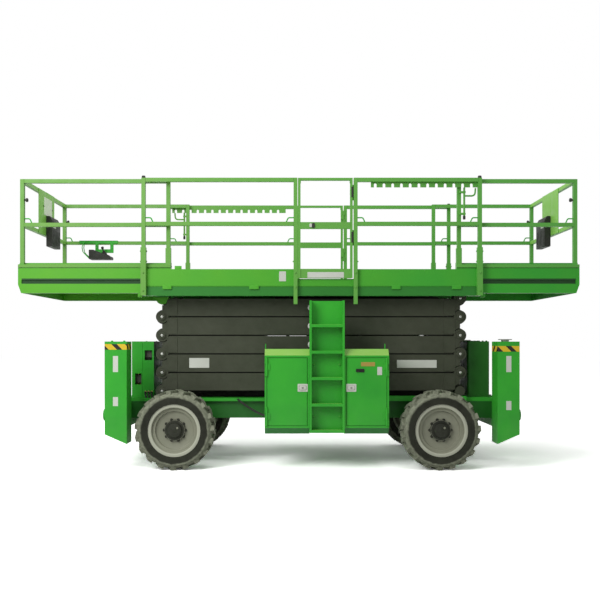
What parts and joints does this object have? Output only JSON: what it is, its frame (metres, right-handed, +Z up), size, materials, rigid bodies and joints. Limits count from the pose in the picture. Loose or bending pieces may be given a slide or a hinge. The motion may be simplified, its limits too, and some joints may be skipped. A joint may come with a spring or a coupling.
{
  "type": "rough-terrain scissor lift",
  "caption": "Wheeled scissor lift with a railed platform, roll-out decks at both ends, folding arm stack, cabinets, ladders and box outriggers.",
  "frame": {"origin": "on the floor, below the middle of the outline", "axes": "+X from the steered end to the tank end, +Y away from the side in the picture, +Z up"},
  "size_m": [6.58, 2.29, 3.3981],
  "materials": {
    "green_paint": "satin",
    "arm_paint": "satin",
    "tyre": "dusty",
    "rim_paint": "satin",
    "chrome": "polished",
    "black_plastic": "matte",
    "cast_iron": "matte"
  },
  "bodies": {
    "chassis": {"chassis_frame": "green_paint", "front_axle": "cast_iron", "rear_axle": "cast_iron", "front_outrigger_boxes": "green_paint", "rear_outrigger_boxes": "green_paint", "valve_tower": "green_paint", "tank": "green_paint", "cabinets_near": "green_paint", "cabinets_far": "green_paint", "ladders": "green_paint", "engine": "cast_iron"},
    "knuckle_near": {"knuckle_near": "cast_iron"},
    "wheel_front_near": {"rim_front_near": "rim_paint", "tyre_front_near": "tyre"},
    "wheel_rear_near": {"rim_rear_near": "rim_paint", "tyre_rear_near": "tyre"},
    "leg_front_near": {"outrigger_leg_front_near": "green_paint"},
    "leg_rear_near": {"outrigger_leg_rear_near": "green_paint"},
    "knuckle_far": {"knuckle_far": "cast_iron"},
    "wheel_front_far": {"rim_front_far": "rim_paint", "tyre_front_far": "tyre"},
    "wheel_rear_far": {"rim_rear_far": "rim_paint", "tyre_rear_far": "tyre"},
    "leg_front_far": {"outrigger_leg_front_far": "green_paint"},
    "leg_rear_far": {"outrigger_leg_rear_far": "green_paint"},
    "tie_rod": {"tie_rod": "cast_iron"},
    "door_front_near": {"door_front_near": "green_paint"},
    "door_rear_near": {"door_rear_near": "green_paint"},
    "door_front_far": {"door_front_far": "green_paint"},
    "door_rear_far": {"door_rear_far": "green_paint"},
    "outer_1": {"outer_arms_1": "arm_paint"},
    "inner_1": {"inner_arms_1": "arm_paint"},
    "outer_2": {"outer_arms_2": "arm_paint"},
    "inner_2": {"inner_arms_2": "arm_paint"},
    "outer_3": {"outer_arms_3": "arm_paint"},
    "inner_3": {"inner_arms_3": "arm_paint"},
    "outer_4": {"outer_arms_4": "arm_paint"},
    "inner_4": {"inner_arms_4": "arm_paint"},
    "outer_5": {"outer_arms_5": "arm_paint"},
    "inner_5": {"inner_arms_5": "arm_paint"},
    "platform": {"main_deck": "green_paint", "main_rails": "green_paint"},
    "lift_barrels": {"lift_barrels": "arm_paint"},
    "lift_rods": {"lift_rods": "chrome"},
    "gate_near": {"gate_near": "green_paint"},
    "gate_far": {"gate_far": "green_paint"},
    "front_extension": {"front_extension_deck": "green_paint", "front_extension_rails": "green_paint", "front_document_box": "black_plastic", "control_box": "black_plastic"},
    "rear_extension": {"rear_extension_deck": "green_paint", "rear_extension_rails": "green_paint", "rear_document_box": "black_plastic"}
  },
  "joints": [
    {"name": "steer_near", "type": "hinge", "parent": "chassis", "child": "knuckle_near", "pos_m": [-1.416, -0.88, 0.455], "axis": [0, 0, 1], "range_deg": [-35, 35]},
    {"name": "spin_front_near", "type": "hinge", "parent": "knuckle_near", "child": "wheel_front_near", "pos_m": [-1.416, -0.995, 0.455], "axis": [0, 1, 0], "continuous": true},
    {"name": "spin_rear_near", "type": "hinge", "parent": "chassis", "child": "wheel_rear_near", "pos_m": [1.618, -0.995, 0.455], "axis": [0, 1, 0], "continuous": true},
    {"name": "outrigger_front_near", "type": "slide", "parent": "chassis", "child": "leg_front_near", "axis": [0, 0, -1], "range_m": [0, 0.6]},
    {"name": "outrigger_rear_near", "type": "slide", "parent": "chassis", "child": "leg_rear_near", "axis": [0, 0, -1], "range_m": [0, 0.6]},
    {"name": "steer_far", "type": "hinge", "parent": "chassis", "child": "knuckle_far", "pos_m": [-1.416, 0.88, 0.455], "axis": [0, 0, 1], "range_deg": [-35, 35]},
    {"name": "spin_front_far", "type": "hinge", "parent": "knuckle_far", "child": "wheel_front_far", "pos_m": [-1.416, 0.995, 0.455], "axis": [0, 1, 0], "continuous": true},
    {"name": "spin_rear_far", "type": "hinge", "parent": "chassis", "child": "wheel_rear_far", "pos_m": [1.618, 0.995, 0.455], "axis": [0, 1, 0], "continuous": true},
    {"name": "outrigger_front_far", "type": "slide", "parent": "chassis", "child": "leg_front_far", "axis": [0, 0, -1], "range_m": [0, 0.6]},
    {"name": "outrigger_rear_far", "type": "slide", "parent": "chassis", "child": "leg_rear_far", "axis": [0, 0, -1], "range_m": [0, 0.6]},
    {"name": "tie_rod_shift", "type": "slide", "parent": "chassis", "child": "tie_rod", "axis": [0, 1, 0], "range_m": [-0.135, 0.135]},
    {"name": "door_front_near_hinge", "type": "hinge", "parent": "chassis", "child": "door_front_near", "pos_m": [-0.3643, -1.111, 0.41], "axis": [0, 0, -1], "range_deg": [0, 100]},
    {"name": "door_rear_near_hinge", "type": "hinge", "parent": "chassis", "child": "door_rear_near", "pos_m": [1.0013, -1.111, 0.41], "axis": [0, 0, 1], "range_deg": [0, 100]},
    {"name": "door_front_far_hinge", "type": "hinge", "parent": "chassis", "child": "door_front_far", "pos_m": [-0.3643, 1.111, 0.41], "axis": [0, 0, 1], "range_deg": [0, 100]},
    {"name": "door_rear_far_hinge", "type": "hinge", "parent": "chassis", "child": "door_rear_far", "pos_m": [1.0013, 1.111, 0.41], "axis": [0, 0, -1], "range_deg": [0, 100]},
    {"name": "fold", "type": "hinge", "parent": "chassis", "child": "outer_1", "pos_m": [-1.64, 0, 0.873], "axis": [0, -1, 0], "range_deg": [0, 49]},
    {"name": "inner_1_pivot", "type": "hinge", "parent": "outer_1", "child": "inner_1", "pos_m": [0.15, 0, 0.9846], "axis": [0, 1, 0], "range_deg": [0, 98]},
    {"name": "outer_2_pivot", "type": "hinge", "parent": "inner_1", "child": "outer_2", "pos_m": [-1.64, 0, 1.0962], "axis": [0, -1, 0], "range_deg": [0, 98]},
    {"name": "inner_2_pivot", "type": "hinge", "parent": "outer_2", "child": "inner_2", "pos_m": [0.15, 0, 1.2078], "axis": [0, 1, 0], "range_deg": [0, 98]},
    {"name": "outer_3_pivot", "type": "hinge", "parent": "inner_2", "child": "outer_3", "pos_m": [-1.64, 0, 1.3194], "axis": [0, -1, 0], "range_deg": [0, 98]},
    {"name": "inner_3_pivot", "type": "hinge", "parent": "outer_3", "child": "inner_3", "pos_m": [0.15, 0, 1.431], "axis": [0, 1, 0], "range_deg": [0, 98]},
    {"name": "outer_4_pivot", "type": "hinge", "parent": "inner_3", "child": "outer_4", "pos_m": [-1.64, 0, 1.5426], "axis": [0, -1, 0], "range_deg": [0, 98]},
    {"name": "inner_4_pivot", "type": "hinge", "parent": "outer_4", "child": "inner_4", "pos_m": [0.15, 0, 1.6542], "axis": [0, 1, 0], "range_deg": [0, 98]},
    {"name": "outer_5_pivot", "type": "hinge", "parent": "inner_4", "child": "outer_5", "pos_m": [-1.64, 0, 1.7658], "axis": [0, -1, 0], "range_deg": [0, 98]},
    {"name": "inner_5_pivot", "type": "hinge", "parent": "outer_5", "child": "inner_5", "pos_m": [0.15, 0, 1.8774], "axis": [0, 1, 0], "range_deg": [0, 98]},
    {"name": "platform_level", "type": "hinge", "parent": "inner_5", "child": "platform", "pos_m": [-1.64, 0, 1.989], "axis": [0, -1, 0], "range_deg": [0, 49]},
    {"name": "lift_barrel_pivot", "type": "hinge", "parent": "inner_2", "child": "lift_barrels", "pos_m": [-1.16093, 0, 1.28953], "axis": [0, -1, 0], "range_deg": [0, 110]},
    {"name": "lift_rod_slide", "type": "slide", "parent": "lift_barrels", "child": "lift_rods", "axis": [0.9947, 0, 0.1023], "range_m": [0, 1.196]},
    {"name": "gate_near_hinge", "type": "hinge", "parent": "platform", "child": "gate_near", "pos_m": [0.6335, -0.8617, 2.2], "axis": [0, 0, -1], "range_deg": [0, 90]},
    {"name": "gate_far_hinge", "type": "hinge", "parent": "platform", "child": "gate_far", "pos_m": [0.6335, 0.8617, 2.2], "axis": [0, 0, 1], "range_deg": [0, 90]},
    {"name": "front_rollout", "type": "slide", "parent": "platform", "child": "front_extension", "axis": [1, 0, 0], "range_m": [0, 1.4]},
    {"name": "rear_rollout", "type": "slide", "parent": "platform", "child": "rear_extension", "axis": [-1, 0, 0], "range_m": [0, 1.1]}
  ],
  "couplings": [
    {"joint": "steer_far", "follows": "steer_near", "ratio": 1},
    {"joint": "tie_rod_shift", "follows": "steer_near", "m_per_rad": 0.15},
    {"joint": "inner_1_pivot", "follows": "fold", "ratio": 2},
    {"joint": "outer_2_pivot", "follows": "fold", "ratio": 2},
    {"joint": "inner_2_pivot", "follows": "fold", "ratio": 2},
    {"joint": "outer_3_pivot", "follows": "fold", "ratio": 2},
    {"joint": "inner_3_pivot", "follows": "fold", "ratio": 2},
    {"joint": "outer_4_pivot", "follows": "fold", "ratio": 2},
    {"joint": "inner_4_pivot", "follows": "fold", "ratio": 2},
    {"joint": "outer_5_pivot", "follows": "fold", "ratio": 2},
    {"joint": "inner_5_pivot", "follows": "fold", "ratio": 2},
    {"joint": "platform_level", "follows": "fold", "ratio": 1},
    {"joint": "lift_barrel_pivot", "follows": "fold", "ratio": 2.209},
    {"joint": "lift_rod_slide", "follows": "fold", "m_per_rad": 1.3963}
  ]
}
